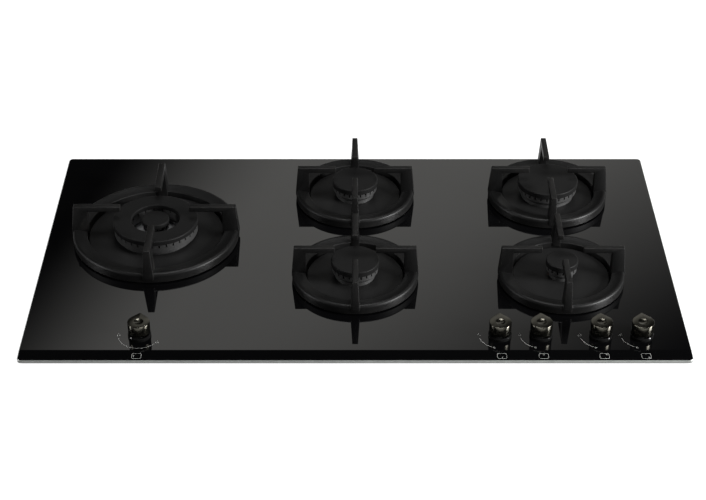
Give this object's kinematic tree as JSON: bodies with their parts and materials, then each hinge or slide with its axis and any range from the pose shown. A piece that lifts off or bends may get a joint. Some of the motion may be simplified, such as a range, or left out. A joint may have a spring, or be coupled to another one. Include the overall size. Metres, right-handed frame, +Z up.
{
  "type": "gas cooktop",
  "caption": "Built-in gas-on-glass cooktop: black glass plate, round cast-iron pan supports, a ring-shaped wok burner, small burners, metal knobs and a sheet-metal burner box below.",
  "frame": {"origin": "middle of the underside of the burner box, below the middle of the glass plate", "axes": "+X to the right seen from the cook, +Y to the back, +Z up"},
  "size_m": [0.9, 0.51, 0.109],
  "materials": {
    "black_glass": "polished black tempered glass",
    "foam_strip": "matte foam",
    "galvanised_sheet": "galvanised, dull",
    "plated_steel": "zinc plated",
    "brass": "machined",
    "copper": "drawn copper",
    "aluminium_tube": "drawn",
    "cast_aluminium": "as cast",
    "black_rubber": "matte",
    "black_enamel": "satin black enamel",
    "black_crown": "matte black, slightly grained",
    "black_cap": "matte black enamel",
    "black_cast_iron": "matte black enamelled cast iron",
    "black_bezel": "gloss black",
    "dark_nickel": "brushed dark nickel",
    "white_ceramic": "glazed ceramic",
    "black_plastic": "moulded",
    "white_plastic": "moulded"
  },
  "bodies": {
    "hob": {"glass_panel": "black_glass", "worktop_seal": "foam_strip", "burner_box": "galvanised_sheet", "mounting_brackets": "galvanised_sheet", "gas_manifold": "plated_steel", "supply_pipe": "plated_steel", "inlet_elbow": "brass", "gas_pipes": "aluminium_tube", "injectors": "brass", "burner_cups": "cast_aluminium", "wok_burner_cup": "cast_aluminium", "burner_gaskets": "black_rubber", "spill_plates": "black_enamel", "wok_spill_plate": "black_enamel", "gas_taps": "cast_aluminium", "knob_bezels": "black_bezel", "spark_electrodes": "white_ceramic", "thermocouples": "copper", "ignition_module": "black_plastic", "ignition_switches": "white_plastic", "terminal_block": "black_plastic", "fixing_clamps": "plated_steel", "screws": "plated_steel"},
    "wok_support": {"wok_pan_support": "black_cast_iron", "wok_support_feet": "black_rubber"},
    "centre_rear_support": {"centre_rear_pan_support": "black_cast_iron", "centre_rear_support_feet": "black_rubber"},
    "centre_front_support": {"centre_front_pan_support": "black_cast_iron", "centre_front_support_feet": "black_rubber"},
    "right_rear_support": {"right_rear_pan_support": "black_cast_iron", "right_rear_support_feet": "black_rubber"},
    "right_front_support": {"right_front_pan_support": "black_cast_iron", "right_front_support_feet": "black_rubber"},
    "wok_ring_crown_body": {"wok_ring_crown": "black_crown"},
    "wok_ring_cap_body": {"wok_ring_cap": "black_cap"},
    "wok_inner_crown_body": {"wok_inner_crown": "black_crown"},
    "wok_inner_cap_body": {"wok_inner_cap": "black_cap"},
    "centre_rear_crown_body": {"centre_rear_crown": "black_crown"},
    "centre_rear_cap_body": {"centre_rear_cap": "black_cap"},
    "centre_front_crown_body": {"centre_front_crown": "black_crown"},
    "centre_front_cap_body": {"centre_front_cap": "black_cap"},
    "right_rear_crown_body": {"right_rear_crown": "black_crown"},
    "right_rear_cap_body": {"right_rear_cap": "black_cap"},
    "right_front_crown_body": {"right_front_crown": "black_crown"},
    "right_front_cap_body": {"right_front_cap": "black_cap"},
    "wok_plug": {"wok_tap_plug": "brass"},
    "wok_control": {"wok_spindle": "plated_steel", "wok_knob": "dark_nickel"},
    "centre_front_plug": {"centre_front_tap_plug": "brass"},
    "centre_front_control": {"centre_front_spindle": "plated_steel", "centre_front_knob": "dark_nickel"},
    "centre_rear_plug": {"centre_rear_tap_plug": "brass"},
    "centre_rear_control": {"centre_rear_spindle": "plated_steel", "centre_rear_knob": "dark_nickel"},
    "right_rear_plug": {"right_rear_tap_plug": "brass"},
    "right_rear_control": {"right_rear_spindle": "plated_steel", "right_rear_knob": "dark_nickel"},
    "right_front_plug": {"right_front_tap_plug": "brass"},
    "right_front_control": {"right_front_spindle": "plated_steel", "right_front_knob": "dark_nickel"}
  },
  "joints": [
    {"name": "wok_support_lift", "type": "slide", "parent": "hob", "child": "wok_support", "axis": [0, 0, 1], "range_m": [0, 0.08]},
    {"name": "centre_rear_support_lift", "type": "slide", "parent": "hob", "child": "centre_rear_support", "axis": [0, 0, 1], "range_m": [0, 0.08]},
    {"name": "centre_front_support_lift", "type": "slide", "parent": "hob", "child": "centre_front_support", "axis": [0, 0, 1], "range_m": [0, 0.08]},
    {"name": "right_rear_support_lift", "type": "slide", "parent": "hob", "child": "right_rear_support", "axis": [0, 0, 1], "range_m": [0, 0.08]},
    {"name": "right_front_support_lift", "type": "slide", "parent": "hob", "child": "right_front_support", "axis": [0, 0, 1], "range_m": [0, 0.08]},
    {"name": "wok_ring_crown_lift", "type": "slide", "parent": "hob", "child": "wok_ring_crown_body", "axis": [0, 0, 1], "range_m": [0, 0.004]},
    {"name": "wok_ring_cap_lift", "type": "slide", "parent": "wok_ring_crown_body", "child": "wok_ring_cap_body", "axis": [0, 0, 1], "range_m": [0, 0.008]},
    {"name": "wok_inner_crown_lift", "type": "slide", "parent": "hob", "child": "wok_inner_crown_body", "axis": [0, 0, 1], "range_m": [0, 0.004]},
    {"name": "wok_inner_cap_lift", "type": "slide", "parent": "wok_inner_crown_body", "child": "wok_inner_cap_body", "axis": [0, 0, 1], "range_m": [0, 0.008]},
    {"name": "centre_rear_crown_lift", "type": "slide", "parent": "hob", "child": "centre_rear_crown_body", "axis": [0, 0, 1], "range_m": [0, 0.004]},
    {"name": "centre_rear_cap_lift", "type": "slide", "parent": "centre_rear_crown_body", "child": "centre_rear_cap_body", "axis": [0, 0, 1], "range_m": [0, 0.008]},
    {"name": "centre_front_crown_lift", "type": "slide", "parent": "hob", "child": "centre_front_crown_body", "axis": [0, 0, 1], "range_m": [0, 0.004]},
    {"name": "centre_front_cap_lift", "type": "slide", "parent": "centre_front_crown_body", "child": "centre_front_cap_body", "axis": [0, 0, 1], "range_m": [0, 0.008]},
    {"name": "right_rear_crown_lift", "type": "slide", "parent": "hob", "child": "right_rear_crown_body", "axis": [0, 0, 1], "range_m": [0, 0.004]},
    {"name": "right_rear_cap_lift", "type": "slide", "parent": "right_rear_crown_body", "child": "right_rear_cap_body", "axis": [0, 0, 1], "range_m": [0, 0.008]},
    {"name": "right_front_crown_lift", "type": "slide", "parent": "hob", "child": "right_front_crown_body", "axis": [0, 0, 1], "range_m": [0, 0.004]},
    {"name": "right_front_cap_lift", "type": "slide", "parent": "right_front_crown_body", "child": "right_front_cap_body", "axis": [0, 0, 1], "range_m": [0, 0.008]},
    {"name": "wok_knob_turn", "type": "hinge", "parent": "hob", "child": "wok_plug", "pos_m": [-0.2915, -0.202, 0], "axis": [0, 0, 1], "range_deg": [0, 241]},
    {"name": "wok_knob_push", "type": "slide", "parent": "wok_plug", "child": "wok_control", "axis": [0, 0, -1], "range_m": [0, 0.003], "stiffness_N_per_m": 600, "springref_m": -0.005},
    {"name": "centre_front_knob_turn", "type": "hinge", "parent": "hob", "child": "centre_front_plug", "pos_m": [0.1955, -0.202, 0], "axis": [0, 0, 1], "range_deg": [0, 160]},
    {"name": "centre_front_knob_push", "type": "slide", "parent": "centre_front_plug", "child": "centre_front_control", "axis": [0, 0, -1], "range_m": [0, 0.003], "stiffness_N_per_m": 600, "springref_m": -0.005},
    {"name": "centre_rear_knob_turn", "type": "hinge", "parent": "hob", "child": "centre_rear_plug", "pos_m": [0.251, -0.202, 0], "axis": [0, 0, 1], "range_deg": [0, 160]},
    {"name": "centre_rear_knob_push", "type": "slide", "parent": "centre_rear_plug", "child": "centre_rear_control", "axis": [0, 0, -1], "range_m": [0, 0.003], "stiffness_N_per_m": 600, "springref_m": -0.005},
    {"name": "right_rear_knob_turn", "type": "hinge", "parent": "hob", "child": "right_rear_plug", "pos_m": [0.332, -0.202, 0], "axis": [0, 0, 1], "range_deg": [0, 160]},
    {"name": "right_rear_knob_push", "type": "slide", "parent": "right_rear_plug", "child": "right_rear_control", "axis": [0, 0, -1], "range_m": [0, 0.003], "stiffness_N_per_m": 600, "springref_m": -0.005},
    {"name": "right_front_knob_turn", "type": "hinge", "parent": "hob", "child": "right_front_plug", "pos_m": [0.3875, -0.202, 0], "axis": [0, 0, 1], "range_deg": [0, 160]},
    {"name": "right_front_knob_push", "type": "slide", "parent": "right_front_plug", "child": "right_front_control", "axis": [0, 0, -1], "range_m": [0, 0.003], "stiffness_N_per_m": 600, "springref_m": -0.005}
  ]
}
